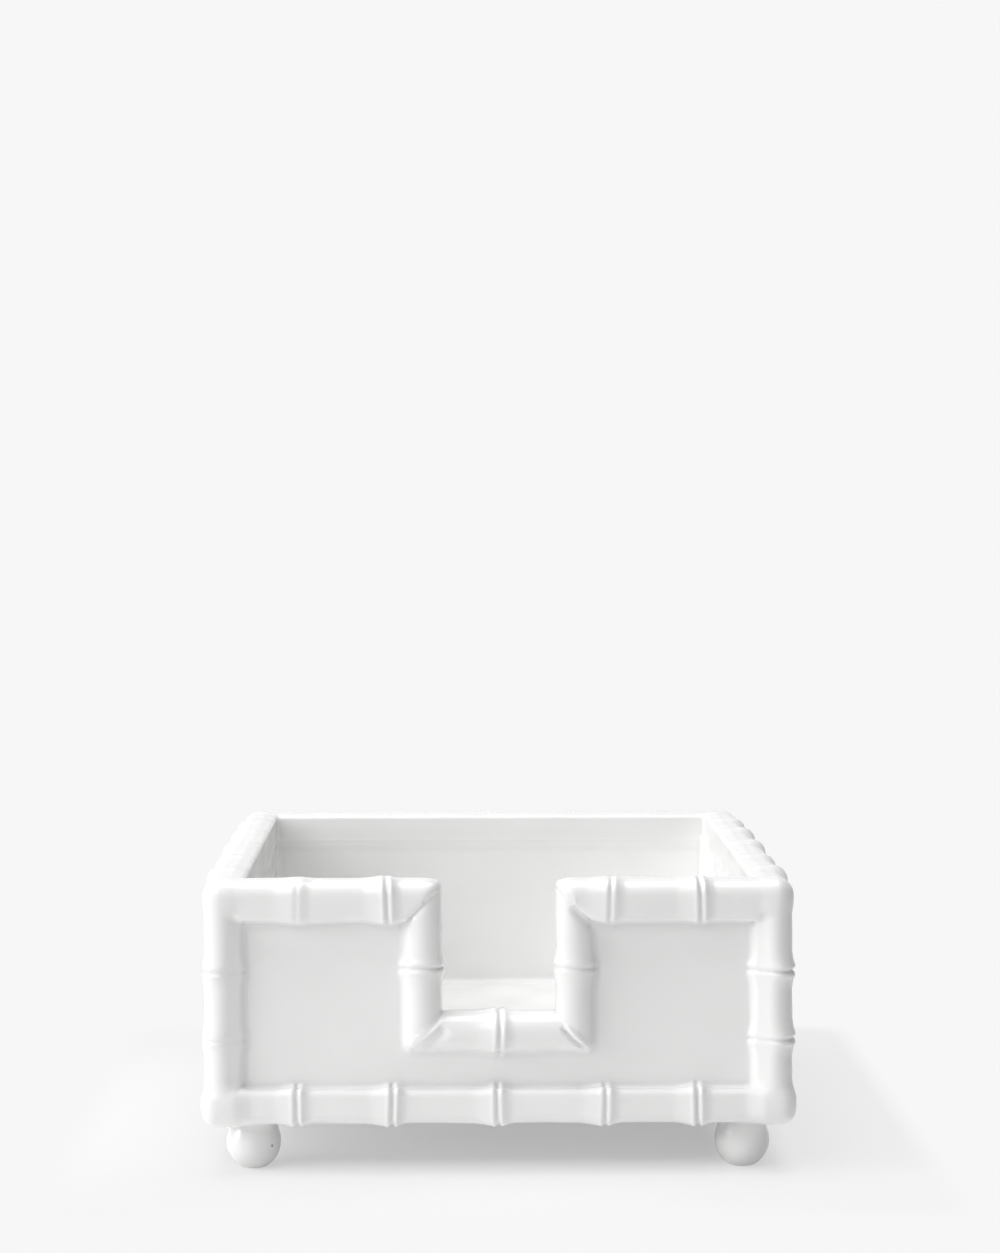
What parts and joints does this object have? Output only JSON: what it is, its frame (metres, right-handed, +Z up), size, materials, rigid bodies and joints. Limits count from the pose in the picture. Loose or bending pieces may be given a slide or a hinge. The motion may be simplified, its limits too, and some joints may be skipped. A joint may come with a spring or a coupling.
{
  "type": "napkin holder",
  "caption": "Square glazed ceramic tray for flat napkins, framed in round bamboo cane mouldings, with a finger notch in the front wall and ball feet.",
  "frame": {"origin": "centre of the object in plan, at the height of the table that the feet stand on", "axes": "+Z up; the finger notch faces -Y; +X is to the right of someone who looks at the notch"},
  "size_m": [0.1566, 0.1566, 0.078],
  "materials": {
    "white_glaze": "glossy"
  },
  "bodies": {
    "root": {"floor_slab": "white_glaze", "front_wall": "white_glaze", "back_wall": "white_glaze", "left_wall": "white_glaze", "right_wall": "white_glaze", "top_rail_front_left": "white_glaze", "top_rail_front_right": "white_glaze", "top_rail_back": "white_glaze", "top_rail_left": "white_glaze", "top_rail_right": "white_glaze", "bottom_rail_front": "white_glaze", "bottom_rail_back": "white_glaze", "bottom_rail_left": "white_glaze", "bottom_rail_right": "white_glaze", "corner_post_front_left": "white_glaze", "corner_post_front_right": "white_glaze", "corner_post_back_left": "white_glaze", "corner_post_back_right": "white_glaze", "notch_stile_left": "white_glaze", "notch_stile_right": "white_glaze", "notch_sill": "white_glaze", "ball_foot_front_left": "white_glaze", "ball_foot_front_right": "white_glaze", "ball_foot_back_left": "white_glaze", "ball_foot_back_right": "white_glaze"}
  },
  "joints": []
}
